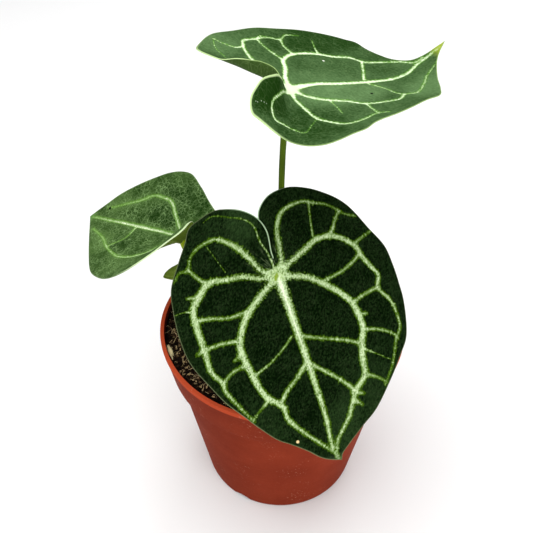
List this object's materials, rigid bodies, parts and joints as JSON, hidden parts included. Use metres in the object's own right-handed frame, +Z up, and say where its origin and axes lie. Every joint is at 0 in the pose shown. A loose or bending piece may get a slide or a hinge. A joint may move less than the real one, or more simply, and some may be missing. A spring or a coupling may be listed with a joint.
{
  "type": "potted foliage anthurium",
  "caption": "Potted foliage plant with large heart-shaped, pale-veined velvet leaves on thin stalks, rooted in dark potting mix in a round tapered plastic nursery pot.",
  "frame": {"origin": "middle of the pot's flat base, on the surface that it stands on", "axes": "+Z up out of the pot, -Y towards the side that the large front leaf hangs to"},
  "size_m": [0.1663, 0.1431, 0.2378],
  "materials": {
    "terracotta_plastic": "satin",
    "potting_mix": "matte",
    "crown_bark": "matte",
    "velvet_front": "matte",
    "petiole_skin_front": "satin",
    "velvet_top": "matte",
    "petiole_skin_top": "satin",
    "velvet_left": "matte",
    "petiole_skin_left": "satin",
    "velvet_young": "matte",
    "petiole_skin_young": "satin"
  },
  "bodies": {
    "root": {"pot": "terracotta_plastic", "soil": "potting_mix", "crown": "crown_bark", "blade_front": "velvet_front", "petiole_front": "petiole_skin_front", "blade_top": "velvet_top", "petiole_top": "petiole_skin_top", "blade_left": "velvet_left", "petiole_left": "petiole_skin_left", "blade_young": "velvet_young", "petiole_young": "petiole_skin_young"}
  },
  "joints": []
}
